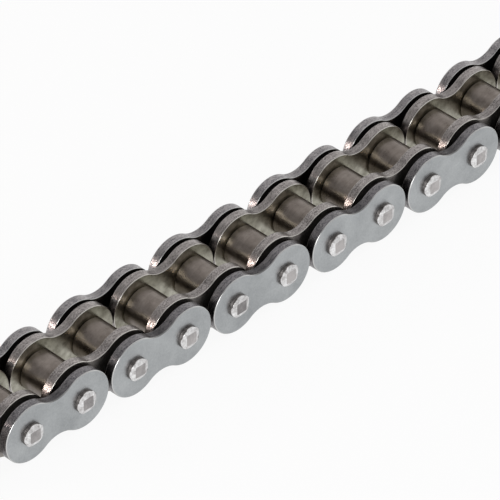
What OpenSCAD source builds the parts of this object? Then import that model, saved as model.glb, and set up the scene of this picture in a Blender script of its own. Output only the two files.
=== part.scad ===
// Strand of sealed roller chain for a motorcycle, standing on the edges of its plates.
// X runs along the strand, Y along the pins and Z is up. The near side is -Y.
// The origin is under the middle of the strand, on the surface that it stands on.

/* [Strand] */
// Distance between neighbouring pins
pitch = 15.875; // [14.5:0.125:19]
// Number of outer links, with one more inner link than that
outer_links = 6; // [1:1:6]

/* [Inner links] */
// Clear width between the two plates of an inner link
inner_width = 9.525; // [6:0.025:13]
// Thickness of an inner plate
inner_plate_thickness = 2.4; // [1.6:0.1:3.2]
// Gap between the round ends of neighbouring inner plates
inner_end_gap = 0.375; // [0.25:0.025:1.2]
// Depth of the hollow in the long edges of an inner plate
inner_hollow = 2.4; // [1.2:0.1:3]

/* [Outer links] */
// Thickness of an outer plate
outer_plate_thickness = 2.4; // [1.6:0.1:3.2]
// Gap between the round ends of neighbouring outer plates
outer_end_gap = 0.875; // [0.25:0.025:1.6]
// Depth of the hollow in the long edges of an outer plate
outer_hollow = 2.4; // [1.2:0.1:3]
// Chamfer along the edges of every plate
edge_break = 0.2; // [0.1:0.05:0.5]

/* [Pins] */
// Diameter of a pin
pin_diameter = 5.4; // [4.8:0.1:6]
// Diameter of the pin's end, spread by the staking
pin_head_diameter = 5.7; // [5.6:0.1:6.6]
// How far a pin's end stands past the outer plate
pin_stand_out = 1.35; // [1.2:0.05:2]
// Chamfer round the rim of the pin's end
pin_chamfer = 0.65; // [0.2:0.05:0.8]
// Width of the square left standing between the four staking marks
stake_flat = 3; // [2:0.1:3.8]
// Depth of a staking mark at the rim of the pin's end
stake_depth = 1; // [0.4:0.05:1.1]

/* [Bushes and rollers] */
// Radial clearance of a pin in its bush
pin_clearance = 0.05; // [0.02:0.01:0.1]
// Wall of a bush
bush_wall = 0.9; // [0.6:0.05:1.1]
// How far a bush stands past the inner plate
bush_stand_out = 0.6; // [0.2:0.05:0.8]
// Outside diameter of a roller
roller_diameter = 10.16; // [9.6:0.02:11]
// Radial clearance of a roller on its bush
roller_clearance = 0.08; // [0.02:0.01:0.1]
// Clearance at each end of a roller
roller_side_clearance = 0.1; // [0.05:0.05:0.4]
// Chamfer on the rims of a roller
roller_edge = 0.35; // [0.1:0.05:0.6]

/* [Seal rings] */
// Gap between inner and outer plates, where the seal rings lie
seal_gap = 1.4; // [1.1:0.05:1.9]
// Thickness of a seal ring before it is squeezed
seal_thickness = 1.75; // [1.7:0.05:2.2]
// Clearance between a seal ring and the inner plate
seal_side_clearance = 0.05; // [0.02:0.01:0.1]
// Radial clearance between a seal ring and the bush
seal_bush_clearance = 0.1; // [0.05:0.05:0.3]

/* [Hidden] */
$fn = 64;

// The rounded hollows bite this far into the round ends, so that the two surfaces cross
blend_bite = 0.01;
// Cutters run this far past the faces that they cut
cut_past = 1;

inner_end_radius = (pitch - inner_end_gap) / 2;
outer_end_radius = (pitch - outer_end_gap) / 2;
pin_height = max(inner_end_radius, outer_end_radius);

pin_radius = pin_diameter / 2;
bush_bore_radius = pin_radius + pin_clearance;
bush_radius = bush_bore_radius + bush_wall;
roller_bore_radius = bush_radius + roller_clearance;
seal_middle_radius = bush_radius + seal_bush_clearance + seal_thickness / 2;

// Distances from the middle of the chain, along the pins
inner_plate_in = inner_width / 2;
inner_plate_out = inner_plate_in + inner_plate_thickness;
outer_plate_in = inner_plate_out + seal_gap;
outer_plate_out = outer_plate_in + outer_plate_thickness;
pin_end = outer_plate_out + pin_stand_out;
bush_end = inner_plate_out + bush_stand_out;
roller_end = inner_plate_in - roller_side_clearance;
seal_in = inner_plate_out + seal_side_clearance;

inner_links = outer_links + 1;
INNER = [1:inner_links];
OUTER = [1:outer_links];

function inner_x(link) = (2 * (link - 1) - outer_links) * pitch;
function outer_x(link) = inner_x(link) + pitch;

function inner_name(link, piece) = str("inner_link_", link, "_", piece);
function outer_name(link, piece) = str("outer_link_", link, "_", piece);

INNER_PIECES = ["near_plate", "far_plate", "bushes", "left_roller", "right_roller"];
OUTER_PIECES = ["near_plate", "far_plate", "pins", "seal_rings"];

// Puts a shape that is drawn along Z onto the pin axis of a link, starting at a distance y
module along_pin(x, y) {
    translate([x, y, pin_height])
        rotate([-90, 0, 0])
            children();
}

// Copies a shape to both pin positions of a link
module at_both_pins() {
    for (side = [-1, 1])
        translate([side * pitch / 2, 0, 0])
            children();
}

// Disc with its edges chamfered by edge_break. A negative chamfer flares it, as a cutter
module edged_disc(radius, thickness, chamfer) {
    step = abs(chamfer);
    translate([0, 0, step])
        cylinder(h = thickness - 2 * step, r = radius);
    cylinder(h = step, r1 = radius - chamfer, r2 = radius);
    translate([0, 0, thickness - step])
        cylinder(h = step, r1 = radius, r2 = radius - chamfer);
}

// Figure-eight plate between Z = 0 and its thickness: two round ends joined by a hollowed waist
module link_plate(end_radius, hollow, thickness, hole_radius) {
    half_pitch = pitch / 2;
    waist = end_radius - hollow;
    hollow_radius = (pow(half_pitch, 2) + pow(waist, 2) - pow(end_radius, 2)) / (2 * hollow);
    hollow_middle = waist + hollow_radius;
    difference() {
        union() {
            at_both_pins()
                edged_disc(end_radius, thickness, edge_break);
            difference() {
                linear_extrude(thickness)
                    polygon([[-half_pitch, 0], [0, -hollow_middle], [half_pitch, 0], [0, hollow_middle]]);
                for (side = [-1, 1])
                    translate([0, side * hollow_middle, 0])
                        edged_disc(hollow_radius + blend_bite, thickness, -edge_break);
            }
        }
        at_both_pins()
            translate([0, 0, -cut_past])
                cylinder(h = thickness + 2 * cut_past, r = hole_radius);
    }
}

module inner_plate(link, y) {
    color("#8f8d86")
        along_pin(inner_x(link), y)
            link_plate(inner_end_radius, inner_hollow, inner_plate_thickness, bush_radius);
}

module outer_plate(link, y) {
    color("#a9aaa7")
        along_pin(outer_x(link), y)
            link_plate(outer_end_radius, outer_hollow, outer_plate_thickness, pin_radius);
}

// Tube that the plates of an inner link are pressed on
module bushes(link) {
    length = 2 * bush_end;
    color("#77746e")
        along_pin(inner_x(link), -bush_end)
            at_both_pins()
                difference() {
                    cylinder(h = length, r = bush_radius);
                    translate([0, 0, -cut_past])
                        cylinder(h = length + 2 * cut_past, r = bush_bore_radius);
                }
}

// Roller that runs on the bush at one end of an inner link, with chamfered rims
module roller(link, side) {
    radius = roller_diameter / 2;
    color("#6d5a48")
        along_pin(inner_x(link) + side * pitch / 2, 0)
            rotate_extrude()
                polygon([
                    [roller_bore_radius, -roller_end],
                    [radius - roller_edge, -roller_end],
                    [radius, roller_edge - roller_end],
                    [radius, roller_end - roller_edge],
                    [radius - roller_edge, roller_end],
                    [roller_bore_radius, roller_end],
                ]);
}

// Bar as long as a pin that is bevelled on two sides at each end, as the staking leaves it
module staked_bar() {
    rim = pin_head_diameter / 2;
    flat = stake_flat / 2;
    shoulder = pin_end - stake_depth;
    translate([0, 0, -rim])
        linear_extrude(2 * rim)
            polygon([
                [-flat, -pin_end], [flat, -pin_end], [rim, -shoulder], [rim, shoulder],
                [flat, pin_end], [-flat, pin_end], [-rim, shoulder], [-rim, -shoulder],
            ]);
}

// Pin with both ends spread past the outer plates, chamfered and staked on four sides
module pins(link) {
    rim = pin_head_diameter / 2;
    face = rim - pin_chamfer;
    shoulder = pin_end - pin_chamfer;
    color("#b4b5b3")
        translate([outer_x(link), 0, pin_height])
            at_both_pins()
                intersection() {
                    rotate([-90, 0, 0])
                        rotate_extrude()
                            polygon([
                                [0, -pin_end], [face, -pin_end], [rim, -shoulder],
                                [rim, -outer_plate_out], [pin_radius, -outer_plate_out],
                                [pin_radius, outer_plate_out], [rim, outer_plate_out],
                                [rim, shoulder], [face, pin_end], [0, pin_end],
                            ]);
                    staked_bar();
                    rotate([0, 90, 0])
                        staked_bar();
                }
}

// Rubber ring round the end of each bush, squeezed flat against the outer plate
module seal_rings(link) {
    height = outer_plate_in - seal_in;
    middle = (outer_plate_in + seal_in) / 2;
    color("#1d1d1d")
        for (side = [-1, 1])
            along_pin(outer_x(link), side * middle)
                at_both_pins()
                    rotate_extrude()
                        translate([seal_middle_radius, 0])
                            intersection() {
                                circle(d = seal_thickness);
                                square([2 * seal_thickness, height], center = true);
                            }
}

for (link = INNER) {
    inner_plate(link, -inner_plate_out);
    inner_plate(link, inner_plate_in);
    bushes(link);
    roller(link, -1);
    roller(link, 1);
}
for (link = OUTER) {
    outer_plate(link, -outer_plate_out);
    outer_plate(link, outer_plate_in);
    pins(link);
    seal_rings(link);
}
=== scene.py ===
import math

import bpy
from mathutils import Euler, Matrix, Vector


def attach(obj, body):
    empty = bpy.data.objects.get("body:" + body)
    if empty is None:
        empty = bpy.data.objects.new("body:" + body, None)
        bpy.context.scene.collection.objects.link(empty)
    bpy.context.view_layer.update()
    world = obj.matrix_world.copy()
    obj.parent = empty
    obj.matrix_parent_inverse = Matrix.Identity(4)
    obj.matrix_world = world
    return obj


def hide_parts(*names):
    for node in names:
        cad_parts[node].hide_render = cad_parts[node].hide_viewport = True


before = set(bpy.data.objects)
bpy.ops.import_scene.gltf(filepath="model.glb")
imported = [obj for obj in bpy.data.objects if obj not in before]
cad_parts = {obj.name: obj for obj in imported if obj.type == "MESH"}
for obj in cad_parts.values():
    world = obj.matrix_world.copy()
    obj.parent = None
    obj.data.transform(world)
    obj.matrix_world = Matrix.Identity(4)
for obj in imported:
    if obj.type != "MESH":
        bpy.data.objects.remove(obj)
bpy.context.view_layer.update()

# The camera stands off to the left of the near side and looks down on the strand through a long lens,
# as the photograph was taken, so that the links hardly shrink with distance.
CAMERA_AIM = Vector((-0.0106, -0.0016, 0.0110))
CAMERA_AZIMUTH = math.radians(-44.71)
CAMERA_ELEVATION = math.radians(38.13)
CAMERA_ROLL = math.radians(-0.22)
CAMERA_DISTANCE = 1.0643
CAMERA_REACH = 20.0
CAMERA_SENSOR_MM = 36.0
CAMERA_LENS_MM = 335.1

camera_data = bpy.data.cameras.new("camera")
camera_data.sensor_width = CAMERA_SENSOR_MM
camera_data.lens = CAMERA_LENS_MM
camera_data.clip_end = CAMERA_REACH
camera = bpy.data.objects.new("camera", camera_data)
bpy.context.scene.collection.objects.link(camera)
camera_back = Vector((
    math.sin(CAMERA_AZIMUTH) * math.cos(CAMERA_ELEVATION),
    -math.cos(CAMERA_AZIMUTH) * math.cos(CAMERA_ELEVATION),
    math.sin(CAMERA_ELEVATION),
))
camera.location = CAMERA_AIM + camera_back * CAMERA_DISTANCE
upright = (-camera_back).to_track_quat("-Z", "Y")
camera.rotation_mode = "QUATERNION"
camera.rotation_quaternion = upright @ Euler((0.0, 0.0, CAMERA_ROLL)).to_quaternion()
bpy.context.scene.camera = camera
bpy.context.scene.view_settings.view_transform = "Standard"

# The studio floor is a wide white sheet under the strand. Part of its white is its own, so that it
# stays white in the picture, and less of it in the steel's reflections, where the shadow under the
# strand has to show.
FLOOR_SIZE = 12.0
FLOOR_WHITE = "#fbfbfb"
FLOOR_SEEN_WHITE = 0.92
FLOOR_MIRRORED_WHITE = 0.72


def linear(hex_colour):
    """Linear RGBA of an sRGB colour written as #rrggbb."""
    channels = [int(hex_colour[i:i + 2], 16) / 255 for i in (1, 3, 5)]
    bent = [c / 12.92 if c <= 0.04045 else ((c + 0.055) / 1.055) ** 2.4 for c in channels]
    return (*bent, 1.0)


def add_node(tree, kind, settings, inputs):
    """Adds a node, with its settings, and gives each input a value or another node's output."""
    made = tree.nodes.new(kind)
    for name, value in settings.items():
        setattr(made, name, value)
    for name, value in inputs.items():
        if isinstance(value, bpy.types.NodeSocket):
            tree.links.new(value, made.inputs[name])
        else:
            made.inputs[name].default_value = value
    return made


def empty_tree(owner):
    """Turns on the nodes of a material or world and clears them."""
    owner.use_nodes = True
    owner.node_tree.nodes.clear()
    return owner.node_tree


bpy.ops.object.select_all(action="DESELECT")
bpy.ops.mesh.primitive_plane_add(size=FLOOR_SIZE)
floor = bpy.context.active_object
floor.name = "floor"

# Matt paper has no gloss: it gives the eye an even white on which the strand's shadow is soft and pale.
paper = bpy.data.materials.new("white studio paper")
tree = empty_tree(paper)
path = add_node(tree, "ShaderNodeLightPath", {}, {})
mirrored = add_node(tree, "ShaderNodeMath", {"operation": "MAXIMUM"},
                    {0: path.outputs["Is Glossy Ray"], 1: path.outputs["Is Transmission Ray"]})
mirrored_share = add_node(tree, "ShaderNodeMath", {"operation": "MULTIPLY"},
                          {0: mirrored.outputs[0], 1: FLOOR_MIRRORED_WHITE})
share = add_node(tree, "ShaderNodeMath", {"operation": "MULTIPLY_ADD"},
                 {0: path.outputs["Is Camera Ray"], 1: FLOOR_SEEN_WHITE, 2: mirrored_share.outputs[0]})
sheet = add_node(tree, "ShaderNodeBsdfDiffuse", {}, {"Color": linear(FLOOR_WHITE)})
glow = add_node(tree, "ShaderNodeEmission", {}, {"Color": linear("#ffffff"), "Strength": 1.0})
mix = add_node(tree, "ShaderNodeMixShader", {},
               {0: share.outputs[0], 1: sheet.outputs[0], 2: glow.outputs[0]})
add_node(tree, "ShaderNodeOutputMaterial", {}, {"Surface": mix.outputs[0]})
floor.data.materials.append(paper)

# The room is a soft white dome, darker on the left and in front, but white all round near the floor.
# A large softbox in front on the left draws bright lines on edges and soft bands on rollers, and a small
# warm lamp past the left end of the strand, on its far side, makes the glints low on the rims.
DOME_HEIGHTS = (0.05, 0.30, 0.62, 1.0)
DOME_GREYS = ("#ffffff", "#f7f7f7", "#e1e1e2", "#e1e1e2")
DOME_LEFT_FADE = (-0.4, 0.0)
DOME_LEFT_SHARE = 0.5
DOME_FRONT_FADE = (-0.55, -0.15)
DOME_FRONT_LIFT = 0.6
DOME_FRONT_SHARE = 0.5
DOME_WHITE_BELOW = 0.03
DOME_SHADED_ABOVE = 0.12

world = bpy.data.worlds.new("soft white dome")
bpy.context.scene.world = world
tree = empty_tree(world)
look = add_node(tree, "ShaderNodeTexCoord", {}, {})
along = add_node(tree, "ShaderNodeSeparateXYZ", {}, {0: look.outputs["Generated"]})
ramp = add_node(tree, "ShaderNodeValToRGB", {}, {"Fac": along.outputs["Z"]})
steps = ramp.color_ramp.elements
steps[0].position = DOME_HEIGHTS[0]
steps[0].color = linear(DOME_GREYS[0])
steps[1].position = DOME_HEIGHTS[3]
steps[1].color = linear(DOME_GREYS[3])
for height, grey in zip(DOME_HEIGHTS[1:3], DOME_GREYS[1:3]):
    steps.new(height).color = linear(grey)
left = add_node(tree, "ShaderNodeMapRange", {},
                {"Value": along.outputs["X"], "From Min": DOME_LEFT_FADE[0],
                 "From Max": DOME_LEFT_FADE[1], "To Min": DOME_LEFT_SHARE, "To Max": 1.0})
lifted = add_node(tree, "ShaderNodeMath", {"operation": "MULTIPLY_ADD"},
                  {0: along.outputs["Z"], 1: DOME_FRONT_LIFT, 2: along.outputs["Y"]})
front = add_node(tree, "ShaderNodeMapRange", {},
                 {"Value": lifted.outputs[0], "From Min": DOME_FRONT_FADE[0],
                  "From Max": DOME_FRONT_FADE[1], "To Min": DOME_FRONT_SHARE, "To Max": 1.0})
shaded = add_node(tree, "ShaderNodeMath", {"operation": "MULTIPLY"},
                  {0: left.outputs[0], 1: front.outputs[0]})
strength = add_node(tree, "ShaderNodeMapRange", {},
                    {"Value": along.outputs["Z"], "From Min": DOME_WHITE_BELOW,
                     "From Max": DOME_SHADED_ABOVE, "To Min": 1.0, "To Max": shaded.outputs[0]})
sky = add_node(tree, "ShaderNodeBackground", {},
               {"Color": ramp.outputs["Color"], "Strength": strength.outputs[0]})
add_node(tree, "ShaderNodeOutputWorld", {}, {"Surface": sky.outputs[0]})


def hang_lamp(name, towards, distance, width, height, watts, colour):
    """Hangs a rectangular lamp in a direction from the strand, facing it."""
    lamp_data = bpy.data.lights.new(name, "AREA")
    lamp_data.shape = "RECTANGLE"
    lamp_data.size = width
    lamp_data.size_y = height
    lamp_data.energy = watts
    lamp_data.color = linear(colour)[:3]
    lamp = bpy.data.objects.new(name, lamp_data)
    lamp.location = CAMERA_AIM + Vector(towards).normalized() * distance
    lamp.rotation_euler = Vector(towards).to_track_quat("Z", "Y").to_euler()
    bpy.context.scene.collection.objects.link(lamp)


hang_lamp("softbox", towards=(-0.64, -0.70, 0.28), distance=1.2, width=0.5, height=0.6, watts=4.5,
          colour="#ffffff")
hang_lamp("warm_lamp", towards=(-0.84, 0.46, 0.235), distance=1.0, width=0.14, height=0.07, watts=2.0,
          colour="#ffeee6")

# Inner plates are figure-eight blanks pressed from carbon steel strip, hardened and tumbled.
# The press tears their rims, which keep the brown tint of tempering, and tumbling rounds their edges.
# Two of them are pressed on the bushes of each inner link.
MM = 0.001
PITCH = 15.875 * MM
INNER_LINKS = 7
INNER_WIDTH = 9.525 * MM
INNER_END_GAP = 0.375 * MM
INNER_END_RADIUS = (PITCH - INNER_END_GAP) / 2
INNER_HOLLOW = 2.4 * MM
INNER_HOLE_RADIUS = 3.65 * MM
PLATE_THICKNESS = 2.4 * MM
PLATE_EDGE_ROUND = 0.2 * MM
INNER_PLATE_MIDDLE = (INNER_WIDTH + PLATE_THICKNESS) / 2
PIN_HEIGHT = INNER_END_RADIUS
# How finely curves are drawn, and how close counts as joined, on a face or smooth.
PLATE_EDGE_STEPS = 4
PLATE_HOLLOW_STEPS = 12
PLATE_END_STEPS = 36
HOLE_SIDES = 96
PUNCH_LENGTH = 4 * PLATE_THICKNESS
WELD_WITHIN = 0.001 * MM
ON_FACE_WITHIN = 0.01 * MM
SMOOTH_BELOW = math.radians(40)
# Each pair of tones is a dark and a light one.
INNER_OUTWARD = ("#8a8682", "#a5a09b")
# The inward faces are painted paler than the outward ones, as painted light reflected from the floor
# into the gap between the plates; the oil smudges vary them at random.
INNER_INWARD_LIT = ("#8f8c7f", "#cbc9bc")
INNER_EDGE = "#dad6d0"
INNER_RIM = ("#696462", "#bab3b0")
# Rims and edges are painted darker towards each waist, as painted shade in the hollows.
INNER_WAIST_X = 0.0
INNER_WAIST_SHADE = 0.8
WAIST_REACH = 0.35 * PITCH
# How far a surface's normal lies along the pins tells faces, rounded edges and rims apart.
FACE_TURN = (0.88, 0.99)
RIM_TURN = (0.5, 0.12)
# The specks and bands of a torn rim and the grain of a tumbled face are drawn about three times as
# coarse as real ones, so that they show.
RIM_SPECK_MM = 0.28
RIM_SPECK_WEIGHT = 1.4
RIM_BAND_MM = 0.45
RIM_BAND_LENGTH_MM = 3.0
RIM_BAND_WEIGHT = 0.6
RIM_TONE_SPAN = (0.8, 1.2)
RIM_GLOSS_SPAN = (0.7, 1.3)
RIM_ROUGHNESS = (0.36, 0.24)
RIM_RELIEF = 0.02 * MM
FACE_GRAIN_MM = 0.5
FACE_GRAIN_WEIGHT = 0.8
FACE_CLOUD_MM = 7.0
FACE_TONE_SPAN = (0.55, 1.25)
FACE_SMUDGE_MM = 3.0
FACE_SMUDGE_SPAN = (0.35, 0.65)
FACE_ROUGHNESS = (0.3, 0.4)
FACE_RELIEF = 0.006 * MM
OILED_ROUGHNESS = 0.28
EDGE_ROUGHNESS = 0.2
# Nearly all of a noise pattern lies in this span.
NOISE_SPAN = (0.3, 0.7)
# A Mix node has one pair of inputs for colours and another for numbers, both named A and B, so they go
# by their places.
COLOUR_A, COLOUR_B, MIXED_COLOUR = 6, 7, 2
NUMBER_A, NUMBER_B = 2, 3


def figure_eight_plate(end_radius, hollow, hole_radius, outward_round):
    """Models a near plate about the origin.

    A quarter of its outline is spun, mirrored, filled and raised. Its edges are rounded, and its two
    holes are punched.
    """
    half_pitch = PITCH / 2
    waist = end_radius - hollow
    hollow_radius = (half_pitch ** 2 + waist ** 2 - end_radius ** 2) / (2 * hollow)
    hollow_middle = waist + hollow_radius
    lean = math.atan2(half_pitch, hollow_middle)
    bpy.ops.object.select_all(action="DESELECT")
    bpy.ops.mesh.primitive_plane_add(size=MM)
    plate = bpy.context.active_object
    bpy.ops.object.mode_set(mode="EDIT")
    bpy.ops.mesh.select_mode(type="VERT")
    bpy.ops.mesh.select_all(action="SELECT")
    bpy.ops.mesh.merge(type="CENTER")
    bpy.ops.transform.translate(value=(0.0, -PLATE_THICKNESS / 2, waist))
    bpy.ops.mesh.spin(steps=PLATE_HOLLOW_STEPS, angle=lean, center=(0.0, 0.0, hollow_middle),
                      axis=(0.0, 1.0, 0.0))
    bpy.ops.mesh.spin(steps=PLATE_END_STEPS, angle=math.pi / 2 + lean, center=(half_pitch, 0.0, 0.0),
                      axis=(0.0, -1.0, 0.0))
    bpy.ops.object.mode_set(mode="OBJECT")
    quarters = plate.modifiers.new("quarters", "MIRROR")
    quarters.use_axis = (True, False, True)
    quarters.merge_threshold = WELD_WITHIN
    bpy.ops.object.modifier_apply(modifier=quarters.name)
    bpy.ops.object.mode_set(mode="EDIT")
    bpy.ops.mesh.select_all(action="SELECT")
    bpy.ops.mesh.edge_face_add()
    bpy.ops.mesh.extrude_region_move(TRANSFORM_OT_translate={"value": (0.0, PLATE_THICKNESS, 0.0)})
    bpy.ops.mesh.select_all(action="SELECT")
    bpy.ops.mesh.normals_make_consistent(inside=False)
    bpy.ops.mesh.select_mode(type="EDGE")
    for side, edge_round in ((-1, outward_round), (1, PLATE_EDGE_ROUND)):
        face_y = side * PLATE_THICKNESS / 2
        bpy.ops.mesh.select_all(action="DESELECT")
        bpy.ops.object.mode_set(mode="OBJECT")
        for edge in plate.data.edges:
            ends = [plate.data.vertices[end].co.y for end in edge.vertices]
            edge.select = max(abs(y - face_y) for y in ends) < ON_FACE_WITHIN
        bpy.ops.object.mode_set(mode="EDIT")
        bpy.ops.mesh.bevel(offset=edge_round, segments=PLATE_EDGE_STEPS, affect="EDGES")
    bpy.ops.object.mode_set(mode="OBJECT")
    for side in (-1, 1):
        bpy.ops.mesh.primitive_cylinder_add(vertices=HOLE_SIDES, radius=hole_radius, depth=PUNCH_LENGTH,
                                            location=(side * half_pitch, 0.0, 0.0),
                                            rotation=(math.pi / 2, 0.0, 0.0))
        punch = bpy.context.active_object
        bpy.context.view_layer.objects.active = plate
        hole = plate.modifiers.new("hole", "BOOLEAN")
        hole.operation = "DIFFERENCE"
        hole.object = punch
        bpy.ops.object.modifier_apply(modifier=hole.name)
        bpy.data.objects.remove(punch)
    smooth_flats(plate)
    return plate


def smooth_flats(piece):
    """Shades rounded edges smooth and keeps the flats between them flat."""
    bpy.ops.object.select_all(action="DESELECT")
    piece.select_set(True)
    bpy.context.view_layer.objects.active = piece
    bpy.ops.object.shade_smooth_by_angle(angle=SMOOTH_BELOW)
    flats = piece.modifiers.new("flats", "WEIGHTED_NORMAL")
    flats.keep_sharp = True
    bpy.ops.object.modifier_apply(modifier=flats.name)


def lay_copy(model, node, body, x, y, material):
    """Lays a copy of a modelled piece, with a mesh of its own, in place of a node of the frame.

    A copy for the far side is turned about, so that its outward face still looks outward.
    """
    bpy.ops.object.select_all(action="DESELECT")
    model.select_set(True)
    bpy.context.view_layer.objects.active = model
    bpy.ops.object.duplicate_move(TRANSFORM_OT_translate={"value": (x, y, PIN_HEIGHT)})
    piece = bpy.context.active_object
    piece.rotation_euler.z = math.pi if y > 0 else 0.0
    bpy.ops.object.transform_apply(location=True, rotation=True, scale=False)
    piece.name = node + "_shaped"
    piece.data.materials.clear()
    piece.data.materials.append(material)
    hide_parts(node)
    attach(piece, body)


def per_mm(size_mm):
    """Pattern scale, per metre, for a pattern that repeats about every size_mm."""
    return 1.0 / (size_mm * MM)


def blanked_steel(name, outward, inward, edge, rim, waist_x, waist_shade_share):
    """Tumbled steel of one kind of plate, with a dark and a light tone for each sort of surface.

    It gives the eye satin faces with a fine grain and soft clouds, edges worn bright, and speckled rims.
    Rims and edges are painted darker towards each waist, as painted shade in the hollows. The inward
    faces are smudged with oil. A waist of such a plate lies at waist_x, and its rim and edges there keep
    the given share of their tone.
    """
    steel = bpy.data.materials.new(name)
    tree = empty_tree(steel)
    place = add_node(tree, "ShaderNodeTexCoord", {}, {})
    where = place.outputs["Object"]
    normal = add_node(tree, "ShaderNodeSeparateXYZ", {}, {0: place.outputs["Normal"]})
    spot = add_node(tree, "ShaderNodeSeparateXYZ", {}, {0: where})
    facing = add_node(tree, "ShaderNodeMath", {"operation": "ABSOLUTE"}, {0: normal.outputs["Y"]})
    is_face = add_node(tree, "ShaderNodeMapRange", {"interpolation_type": "SMOOTHSTEP"},
                       {"Value": facing.outputs[0], "From Min": FACE_TURN[0], "From Max": FACE_TURN[1]})
    is_rim = add_node(tree, "ShaderNodeMapRange", {"interpolation_type": "SMOOTHSTEP"},
                      {"Value": facing.outputs[0], "From Min": RIM_TURN[0], "From Max": RIM_TURN[1]})
    turned = add_node(tree, "ShaderNodeMath", {"operation": "MULTIPLY"},
                      {0: normal.outputs["Y"], 1: spot.outputs["Y"]})
    is_outward = add_node(tree, "ShaderNodeMath", {"operation": "GREATER_THAN"},
                          {0: turned.outputs[0], 1: 0.0})
    clouds = add_node(tree, "ShaderNodeTexNoise", {},
                      {"Vector": where, "Scale": per_mm(FACE_CLOUD_MM), "Detail": 4.0, "Roughness": 0.6})
    grain = add_node(tree, "ShaderNodeTexNoise", {},
                     {"Vector": where, "Scale": per_mm(FACE_GRAIN_MM), "Detail": 3.0, "Roughness": 0.6})
    specks = add_node(tree, "ShaderNodeTexNoise", {},
                      {"Vector": where, "Scale": per_mm(RIM_SPECK_MM), "Detail": 2.0, "Roughness": 0.7})
    along_rim = (per_mm(RIM_BAND_LENGTH_MM), per_mm(RIM_BAND_MM), per_mm(RIM_BAND_LENGTH_MM))
    stretched = add_node(tree, "ShaderNodeMapping", {}, {"Vector": where, "Scale": along_rim})
    bands = add_node(tree, "ShaderNodeTexNoise", {},
                     {"Vector": stretched.outputs[0], "Scale": 1.0, "Detail": 3.0, "Roughness": 0.6})
    banding = add_node(tree, "ShaderNodeMath", {"operation": "MULTIPLY"},
                       {0: bands.outputs["Fac"], 1: RIM_BAND_WEIGHT})
    torn = add_node(tree, "ShaderNodeMath", {"operation": "MULTIPLY_ADD"},
                    {0: specks.outputs["Fac"], 1: RIM_SPECK_WEIGHT, 2: banding.outputs[0]})
    face_mix = add_node(tree, "ShaderNodeMath", {"operation": "MULTIPLY_ADD"},
                        {0: grain.outputs["Fac"], 1: FACE_GRAIN_WEIGHT, 2: clouds.outputs["Fac"]})
    face_fade = add_node(tree, "ShaderNodeMapRange", {},
                         {"Value": face_mix.outputs[0],
                          "From Min": FACE_TONE_SPAN[0], "From Max": FACE_TONE_SPAN[1]})
    out_face = add_node(tree, "ShaderNodeMix", {"data_type": "RGBA"},
                        {"Factor": face_fade.outputs[0],
                         COLOUR_A: linear(outward[0]), COLOUR_B: linear(outward[1])})
    smudges = add_node(tree, "ShaderNodeTexNoise", {},
                       {"Vector": where, "Scale": per_mm(FACE_SMUDGE_MM), "Detail": 5.0,
                        "Roughness": 0.7})
    clean = add_node(tree, "ShaderNodeMapRange", {},
                     {"Value": smudges.outputs["Fac"],
                      "From Min": FACE_SMUDGE_SPAN[0], "From Max": FACE_SMUDGE_SPAN[1]})
    in_face = add_node(tree, "ShaderNodeMix", {"data_type": "RGBA"},
                       {"Factor": clean.outputs[0],
                        COLOUR_A: linear(inward[0]), COLOUR_B: linear(inward[1])})
    face = add_node(tree, "ShaderNodeMix", {"data_type": "RGBA"},
                    {"Factor": is_outward.outputs[0], COLOUR_A: in_face.outputs[MIXED_COLOUR],
                     COLOUR_B: out_face.outputs[MIXED_COLOUR]})
    rim_fade = add_node(tree, "ShaderNodeMapRange", {},
                        {"Value": torn.outputs[0],
                         "From Min": RIM_TONE_SPAN[0], "From Max": RIM_TONE_SPAN[1]})
    rim_colour = add_node(tree, "ShaderNodeMix", {"data_type": "RGBA"},
                          {"Factor": rim_fade.outputs[0],
                           COLOUR_A: linear(rim[0]), COLOUR_B: linear(rim[1])})
    # Painted shade: rims and edges darken towards each waist, most on the near outer row.
    from_waist = add_node(tree, "ShaderNodeMath", {"operation": "SUBTRACT"},
                          {0: spot.outputs["X"], 1: waist_x})
    waist_distance = add_node(tree, "ShaderNodeMath", {"operation": "PINGPONG"},
                              {0: from_waist.outputs[0], 1: PITCH})
    waist_shade_factor = add_node(tree, "ShaderNodeMapRange", {"interpolation_type": "SMOOTHSTEP"},
                          {"Value": waist_distance.outputs[0], "From Min": 0.0, "From Max": WAIST_REACH,
                           "To Min": waist_shade_share, "To Max": 1.0})
    worn = add_node(tree, "ShaderNodeMix", {"data_type": "RGBA"},
                    {"Factor": is_rim.outputs[0],
                     COLOUR_A: linear(edge), COLOUR_B: rim_colour.outputs[MIXED_COLOUR]})
    border = add_node(tree, "ShaderNodeVectorMath", {"operation": "SCALE"},
                      {0: worn.outputs[MIXED_COLOUR], "Scale": waist_shade_factor.outputs[0]})
    colour = add_node(tree, "ShaderNodeMix", {"data_type": "RGBA"},
                      {"Factor": is_face.outputs[0],
                       COLOUR_A: border.outputs[0], COLOUR_B: face.outputs[MIXED_COLOUR]})
    rim_rough = add_node(tree, "ShaderNodeMapRange", {},
                         {"Value": torn.outputs[0],
                          "From Min": RIM_GLOSS_SPAN[0], "From Max": RIM_GLOSS_SPAN[1],
                          "To Min": RIM_ROUGHNESS[0], "To Max": RIM_ROUGHNESS[1]})
    face_rough = add_node(tree, "ShaderNodeMapRange", {},
                          {"Value": grain.outputs["Fac"],
                           "From Min": NOISE_SPAN[0], "From Max": NOISE_SPAN[1],
                           "To Min": FACE_ROUGHNESS[0], "To Max": FACE_ROUGHNESS[1]})
    oiled_rough = add_node(tree, "ShaderNodeMapRange", {},
                           {"Value": is_outward.outputs[0], "To Min": OILED_ROUGHNESS,
                            "To Max": face_rough.outputs[0]})
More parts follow.
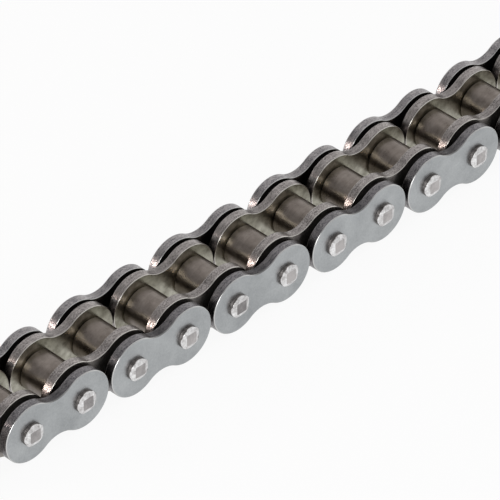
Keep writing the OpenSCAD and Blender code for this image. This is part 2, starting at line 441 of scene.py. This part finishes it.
    worn_rough = add_node(tree, "ShaderNodeMix", {},
                          {"Factor": is_face.outputs[0],
                           NUMBER_A: EDGE_ROUGHNESS, NUMBER_B: oiled_rough.outputs[0]})
    rough = add_node(tree, "ShaderNodeMix", {},
                     {"Factor": is_rim.outputs[0],
                      NUMBER_A: worn_rough.outputs[0], NUMBER_B: rim_rough.outputs[0]})
    relief = add_node(tree, "ShaderNodeMix", {},
                      {"Factor": is_rim.outputs[0],
                       NUMBER_A: grain.outputs["Fac"], NUMBER_B: torn.outputs[0]})
    depth = add_node(tree, "ShaderNodeMapRange", {},
                     {"Value": is_rim.outputs[0], "To Min": FACE_RELIEF, "To Max": RIM_RELIEF})
    bump = add_node(tree, "ShaderNodeBump", {},
                    {"Height": relief.outputs[0], "Distance": depth.outputs[0], "Strength": 1.0})
    skin = add_node(tree, "ShaderNodeBsdfPrincipled", {},
                    {"Base Color": colour.outputs[MIXED_COLOUR], "Metallic": 1.0,
                     "Roughness": rough.outputs[0], "Normal": bump.outputs[0]})
    add_node(tree, "ShaderNodeOutputMaterial", {}, {"Surface": skin.outputs[0]})
    return steel


inner_steel = blanked_steel("tumbled carbon steel, inner plates", INNER_OUTWARD, INNER_INWARD_LIT,
                            INNER_EDGE, INNER_RIM, INNER_WAIST_X, INNER_WAIST_SHADE)
inner_plate = figure_eight_plate(INNER_END_RADIUS, INNER_HOLLOW, INNER_HOLE_RADIUS, PLATE_EDGE_ROUND)
for link in range(1, INNER_LINKS + 1):
    link_x = (2 * link - 1 - INNER_LINKS) * PITCH
    body = f"inner_link_{link}"
    for row, y in (("near", -INNER_PLATE_MIDDLE), ("far", INNER_PLATE_MIDDLE)):
        lay_copy(inner_plate, f"{body}_{row}_plate", body, link_x, y, inner_steel)
bpy.data.objects.remove(inner_plate)

# Bushes are tubes of case-hardened steel, ground outside and pressed through both plates of an inner
# link. Rollers are solid rings of the same steel that turn on them, ground round and then tempered.
ROLLER_BROWNS = ("#6d645d", "#958c85")
# Grinding lines are drawn several times as coarse as real ones, so that they show.
ROLLER_LINE_MM = 0.3
ROLLER_ROUND_MM = 14.0
ROLLER_LINE_WEIGHT = 0.3
ROLLER_CLOUD_MM = 3.5
ROLLER_TONE_SPAN = (0.45, 0.85)
ROLLER_ROUGHNESS = (0.25, 0.35)
ROLLER_RELIEF = 0.002 * MM

# Tempering leaves a thin brown skin over the ground steel. It gives the eye a warm, dark satin with
# clouds of tone, faint lines round the roller and soft bands of light along it.
roller_steel = bpy.data.materials.new("tempered roller steel")
tree = empty_tree(roller_steel)
place = add_node(tree, "ShaderNodeTexCoord", {}, {})
ring_scale = (per_mm(ROLLER_ROUND_MM), per_mm(ROLLER_LINE_MM), per_mm(ROLLER_ROUND_MM))
rings = add_node(tree, "ShaderNodeMapping", {}, {"Vector": place.outputs["Object"], "Scale": ring_scale})
lines = add_node(tree, "ShaderNodeTexNoise", {},
                 {"Vector": rings.outputs[0], "Scale": 1.0, "Detail": 3.0, "Roughness": 0.6})
clouds = add_node(tree, "ShaderNodeTexNoise", {},
                  {"Vector": place.outputs["Object"], "Scale": per_mm(ROLLER_CLOUD_MM), "Detail": 6.0,
                   "Roughness": 0.75})
blend = add_node(tree, "ShaderNodeMath", {"operation": "MULTIPLY_ADD"},
                 {0: lines.outputs["Fac"], 1: ROLLER_LINE_WEIGHT, 2: clouds.outputs["Fac"]})
fade = add_node(tree, "ShaderNodeMapRange", {},
                {"Value": blend.outputs[0],
                 "From Min": ROLLER_TONE_SPAN[0], "From Max": ROLLER_TONE_SPAN[1]})
colour = add_node(tree, "ShaderNodeMix", {"data_type": "RGBA"},
                  {"Factor": fade.outputs[0],
                   COLOUR_A: linear(ROLLER_BROWNS[0]), COLOUR_B: linear(ROLLER_BROWNS[1])})
rough = add_node(tree, "ShaderNodeMapRange", {},
                 {"Value": clouds.outputs["Fac"], "From Min": NOISE_SPAN[0], "From Max": NOISE_SPAN[1],
                  "To Min": ROLLER_ROUGHNESS[0], "To Max": ROLLER_ROUGHNESS[1]})
bump = add_node(tree, "ShaderNodeBump", {},
                {"Height": lines.outputs["Fac"], "Distance": ROLLER_RELIEF, "Strength": 1.0})
skin = add_node(tree, "ShaderNodeBsdfPrincipled", {},
                {"Base Color": colour.outputs[MIXED_COLOUR], "Metallic": 1.0,
                 "Roughness": rough.outputs[0], "Normal": bump.outputs[0]})
add_node(tree, "ShaderNodeOutputMaterial", {}, {"Surface": skin.outputs[0]})
for name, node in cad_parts.items():
    if name.endswith("_roller") or name.endswith("_bushes"):
        node.material_slots[0].material = roller_steel

# Outer plates are blanked and tumbled like the inner ones, and the press has rolled their outward edge
# over. Two of them are pressed on the pins of each outer link. Their inward faces, in the seal gap, are
# painted dark as shade between the plates. The near row is a painted-shade copy of the far row's steel:
# its rims and waists are painted darker, as the shade of the strand beside them.
OUTER_LINKS = 6
SEAL_GAP = 1.4 * MM
OUTER_END_GAP = 0.875 * MM
OUTER_END_RADIUS = (PITCH - OUTER_END_GAP) / 2
OUTER_HOLLOW = 2.4 * MM
OUTER_DIE_ROLL = 0.3 * MM
OUTER_PLATE_MIDDLE = INNER_PLATE_MIDDLE + PLATE_THICKNESS + SEAL_GAP
PIN_RADIUS = 2.7 * MM
OUTER_OUTWARD = ("#999c9e", "#bec1c2")
# The inward faces are painted dark, as painted shade in the seal gap.
OUTER_INWARD_SHADE = ("#5c5856", "#75706d")
OUTER_EDGE = "#cccccb"
OUTER_WAIST_X = PITCH
# The near rims and waists are painted darker than the far ones, as painted shade from the strand.
NEAR_RIM_SHADED = ("#4d4c50", "#989495")
NEAR_WAIST_SHADE = 0.4
FAR_RIM = ("#646266", "#b4afae")
FAR_WAIST_SHADE = 0.85

near_shaded_steel = blanked_steel("tumbled carbon steel, near outer plates in painted shade", OUTER_OUTWARD, OUTER_INWARD_SHADE,
                           OUTER_EDGE, NEAR_RIM_SHADED, OUTER_WAIST_X, NEAR_WAIST_SHADE)
far_steel = blanked_steel("tumbled carbon steel, far outer plates", OUTER_OUTWARD, OUTER_INWARD_SHADE,
                          OUTER_EDGE, FAR_RIM, OUTER_WAIST_X, FAR_WAIST_SHADE)
outer_plate = figure_eight_plate(OUTER_END_RADIUS, OUTER_HOLLOW, PIN_RADIUS, OUTER_DIE_ROLL)
outer_rows = (("near", -OUTER_PLATE_MIDDLE, near_shaded_steel), ("far", OUTER_PLATE_MIDDLE, far_steel))
for link in range(1, OUTER_LINKS + 1):
    link_x = (2 * link - INNER_LINKS) * PITCH
    body = f"outer_link_{link}"
    for row, y, steel in outer_rows:
        lay_copy(outer_plate, f"{body}_{row}_plate", body, link_x, y, steel)
bpy.data.objects.remove(outer_plate)

# Pins are ground from alloy steel and pressed through both outer plates. Each end is spread and staked
# on four sides, which leaves four slopes round a square.
PIN_HEAD_RADIUS = 2.85 * MM
PIN_STAND_OUT = 1.35 * MM
PIN_SHOULDER = OUTER_PLATE_MIDDLE + PLATE_THICKNESS / 2
PIN_END = PIN_SHOULDER + PIN_STAND_OUT
PIN_FACE_RADIUS = 2.35 * MM
PIN_CHAMFER_DEPTH = 0.4 * MM
STAKE_FLAT = 1.42 * MM
STAKE_DEPTH = 0.6 * MM
STAKE_EDGE_ROUND = 0.07 * MM
STAKE_EDGE_STEPS = 2
STAKE_FLAT_ROUND = 0.12 * MM
STAKE_FLAT_STEPS = 3
PIN_SIDES = 96
# Faces that lie this nearly in one plane are joined, and edges sharper than this are rounded.
FLAT_WITHIN = math.radians(1)
SHARP_ABOVE = math.radians(9)
STAKE_GRAIN_MM = 0.9
STAKE_GRAIN_SPAN = (0.25, 0.7)
STAKE_RELIEF = 0.12 * MM
PIN_TONE_MM = 9.0
PIN_TONE_WEIGHT = 2.4
PIN_TONE_SPAN = (1.2, 2.2)
PIN_ROUGHNESS = (0.42, 0.3)
PIN_END_TURN = (0.97, 0.995)
PIN_SLOPE_TURN = (0.3, 0.6)
PIN_END_GREYS = ("#858282", "#bebab9")
PIN_SLOPE_GREYS = ("#aeaaa9", "#ffffff")
PIN_SIDE_GREYS = ("#57514e", "#a8a19e")

# The staking tool presses the slopes bright and uneven and leaves the square as it was ground. It gives
# the eye four pale, lively facets round a greyer middle, whose tone differs from pin to pin.
pin_steel = bpy.data.materials.new("ground pin steel")
tree = empty_tree(pin_steel)
place = add_node(tree, "ShaderNodeTexCoord", {}, {})
normal = add_node(tree, "ShaderNodeSeparateXYZ", {}, {0: place.outputs["Normal"]})
facing = add_node(tree, "ShaderNodeMath", {"operation": "ABSOLUTE"}, {0: normal.outputs["Y"]})
is_end = add_node(tree, "ShaderNodeMapRange", {},
                  {"Value": facing.outputs[0],
                   "From Min": PIN_END_TURN[0], "From Max": PIN_END_TURN[1]})
is_slope = add_node(tree, "ShaderNodeMapRange", {},
                    {"Value": facing.outputs[0],
                     "From Min": PIN_SLOPE_TURN[0], "From Max": PIN_SLOPE_TURN[1]})
grain = add_node(tree, "ShaderNodeTexNoise", {},
                 {"Vector": place.outputs["Object"], "Scale": per_mm(STAKE_GRAIN_MM), "Detail": 4.0,
                  "Roughness": 0.6})
tone = add_node(tree, "ShaderNodeTexNoise", {},
                {"Vector": place.outputs["Object"], "Scale": per_mm(PIN_TONE_MM), "Detail": 0.0})
end_mix = add_node(tree, "ShaderNodeMath", {"operation": "MULTIPLY_ADD"},
                   {0: tone.outputs["Fac"], 1: PIN_TONE_WEIGHT, 2: grain.outputs["Fac"]})
end_fade = add_node(tree, "ShaderNodeMapRange", {},
                    {"Value": end_mix.outputs[0],
                     "From Min": PIN_TONE_SPAN[0], "From Max": PIN_TONE_SPAN[1]})
end_colour = add_node(tree, "ShaderNodeMix", {"data_type": "RGBA"},
                      {"Factor": end_fade.outputs[0],
                       COLOUR_A: linear(PIN_END_GREYS[0]), COLOUR_B: linear(PIN_END_GREYS[1])})
sharp_grain = add_node(tree, "ShaderNodeMapRange", {},
                       {"Value": grain.outputs["Fac"],
                        "From Min": STAKE_GRAIN_SPAN[0], "From Max": STAKE_GRAIN_SPAN[1]})
slope_colour = add_node(tree, "ShaderNodeMix", {"data_type": "RGBA"},
                        {"Factor": sharp_grain.outputs[0],
                         COLOUR_A: linear(PIN_SLOPE_GREYS[0]), COLOUR_B: linear(PIN_SLOPE_GREYS[1])})
side_colour = add_node(tree, "ShaderNodeMix", {"data_type": "RGBA"},
                       {"Factor": sharp_grain.outputs[0],
                        COLOUR_A: linear(PIN_SIDE_GREYS[0]), COLOUR_B: linear(PIN_SIDE_GREYS[1])})
sides = add_node(tree, "ShaderNodeMix", {"data_type": "RGBA"},
                 {"Factor": is_slope.outputs[0], COLOUR_A: side_colour.outputs[MIXED_COLOUR],
                  COLOUR_B: slope_colour.outputs[MIXED_COLOUR]})
colour = add_node(tree, "ShaderNodeMix", {"data_type": "RGBA"},
                  {"Factor": is_end.outputs[0], COLOUR_A: sides.outputs[MIXED_COLOUR],
                   COLOUR_B: end_colour.outputs[MIXED_COLOUR]})
rough = add_node(tree, "ShaderNodeMapRange", {},
                 {"Value": grain.outputs["Fac"], "From Min": NOISE_SPAN[0], "From Max": NOISE_SPAN[1],
                  "To Min": PIN_ROUGHNESS[0], "To Max": PIN_ROUGHNESS[1]})
bump = add_node(tree, "ShaderNodeBump", {},
                {"Height": grain.outputs["Fac"], "Distance": STAKE_RELIEF, "Strength": 1.0})
skin = add_node(tree, "ShaderNodeBsdfPrincipled", {},
                {"Base Color": colour.outputs[MIXED_COLOUR], "Metallic": 1.0,
                 "Roughness": rough.outputs[0], "Normal": bump.outputs[0]})
add_node(tree, "ShaderNodeOutputMaterial", {}, {"Surface": skin.outputs[0]})

bpy.ops.object.select_all(action="DESELECT")
bpy.ops.mesh.primitive_plane_add(size=MM, location=(PITCH / 2, 0.0, 0.0))
pin_pair = bpy.context.active_object
bpy.ops.object.transform_apply(location=True, rotation=False, scale=False)
bpy.ops.object.mode_set(mode="EDIT")
bpy.ops.mesh.select_mode(type="VERT")
bpy.ops.mesh.select_all(action="SELECT")
bpy.ops.mesh.merge(type="CENTER")
bpy.ops.transform.translate(value=(0.0, -PIN_END, 0.0))
profile = (
    (PIN_FACE_RADIUS, 0.0, 0.0),
    (PIN_HEAD_RADIUS - PIN_FACE_RADIUS, PIN_CHAMFER_DEPTH, 0.0),
    (0.0, PIN_END - PIN_SHOULDER - PIN_CHAMFER_DEPTH, 0.0),
    (PIN_RADIUS - PIN_HEAD_RADIUS, 0.0, 0.0),
    (0.0, PIN_SHOULDER, 0.0),
)
for step in profile:
    bpy.ops.mesh.extrude_region_move(TRANSFORM_OT_translate={"value": step})
bpy.ops.mesh.select_all(action="SELECT")
bpy.ops.mesh.spin(steps=PIN_SIDES, angle=2 * math.pi, center=(PITCH / 2, 0.0, 0.0),
                  axis=(0.0, 1.0, 0.0))
bpy.ops.mesh.select_all(action="SELECT")
bpy.ops.mesh.remove_doubles(threshold=WELD_WITHIN)
slope = math.atan2(STAKE_DEPTH, PIN_HEAD_RADIUS - STAKE_FLAT)
for out_x, out_z in ((1, 0), (0, 1), (-1, 0), (0, -1)):
    bpy.ops.mesh.select_all(action="SELECT")
    bpy.ops.mesh.bisect(plane_co=(PITCH / 2 + STAKE_FLAT * out_x, -PIN_END, STAKE_FLAT * out_z),
                        plane_no=(math.sin(slope) * out_x, -math.cos(slope), math.sin(slope) * out_z),
                        use_fill=True, clear_outer=True)
bpy.ops.object.mode_set(mode="OBJECT")
ends = pin_pair.modifiers.new("ends", "MIRROR")
ends.use_axis = (True, True, False)
ends.merge_threshold = WELD_WITHIN
bpy.ops.object.modifier_apply(modifier=ends.name)
bpy.ops.object.mode_set(mode="EDIT")
bpy.ops.mesh.select_all(action="SELECT")
bpy.ops.mesh.dissolve_limited(angle_limit=FLAT_WITHIN)
bpy.ops.mesh.select_all(action="SELECT")
bpy.ops.mesh.normals_make_consistent(inside=False)
bpy.ops.mesh.select_all(action="DESELECT")
bpy.ops.mesh.select_mode(type="FACE")
bpy.ops.object.mode_set(mode="OBJECT")
for polygon in pin_pair.data.polygons:
    polygon.select = abs(polygon.center.y) > PIN_END - ON_FACE_WITHIN
bpy.ops.object.mode_set(mode="EDIT")
bpy.ops.mesh.region_to_loop()
bpy.ops.mesh.bevel(offset=STAKE_FLAT_ROUND, segments=STAKE_FLAT_STEPS, affect="EDGES")
bpy.ops.mesh.select_mode(type="EDGE")
bpy.ops.mesh.select_all(action="DESELECT")
bpy.ops.mesh.edges_select_sharp(sharpness=SHARP_ABOVE)
bpy.ops.mesh.bevel(offset=STAKE_EDGE_ROUND, segments=STAKE_EDGE_STEPS, affect="EDGES")
bpy.ops.object.mode_set(mode="OBJECT")
smooth_flats(pin_pair)
for link in range(1, OUTER_LINKS + 1):
    link_x = (2 * link - INNER_LINKS) * PITCH
    body = f"outer_link_{link}"
    lay_copy(pin_pair, body + "_pins", body, link_x, 0.0, pin_steel)
bpy.data.objects.remove(pin_pair)

# Seal rings are moulded from black nitrile rubber. They lie greased round the ends of the bushes,
# squeezed between inner and outer plates.
RUBBER_BLACKS = ("#0d0d0d", "#1e1e1d")
RUBBER_GRAIN_MM = 0.8
RUBBER_ROUGHNESS = (0.3, 0.6)
RUBBER_RELIEF = 0.03 * MM

# Grease over moulded rubber gives the eye a near black with an uneven, wet sheen.
rubber = bpy.data.materials.new("greased nitrile rubber")
tree = empty_tree(rubber)
place = add_node(tree, "ShaderNodeTexCoord", {}, {})
grain = add_node(tree, "ShaderNodeTexNoise", {},
                 {"Vector": place.outputs["Object"], "Scale": per_mm(RUBBER_GRAIN_MM), "Detail": 3.0})
colour = add_node(tree, "ShaderNodeMix", {"data_type": "RGBA"},
                  {"Factor": grain.outputs["Fac"],
                   COLOUR_A: linear(RUBBER_BLACKS[0]), COLOUR_B: linear(RUBBER_BLACKS[1])})
rough = add_node(tree, "ShaderNodeMapRange", {},
                 {"Value": grain.outputs["Fac"],
                  "To Min": RUBBER_ROUGHNESS[0], "To Max": RUBBER_ROUGHNESS[1]})
bump = add_node(tree, "ShaderNodeBump", {},
                {"Height": grain.outputs["Fac"], "Distance": RUBBER_RELIEF, "Strength": 1.0})
skin = add_node(tree, "ShaderNodeBsdfPrincipled", {},
                {"Base Color": colour.outputs[MIXED_COLOUR], "Roughness": rough.outputs[0],
                 "Normal": bump.outputs[0]})
add_node(tree, "ShaderNodeOutputMaterial", {}, {"Surface": skin.outputs[0]})
for name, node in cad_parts.items():
    if name.endswith("_seal_rings"):
        node.material_slots[0].material = rubber
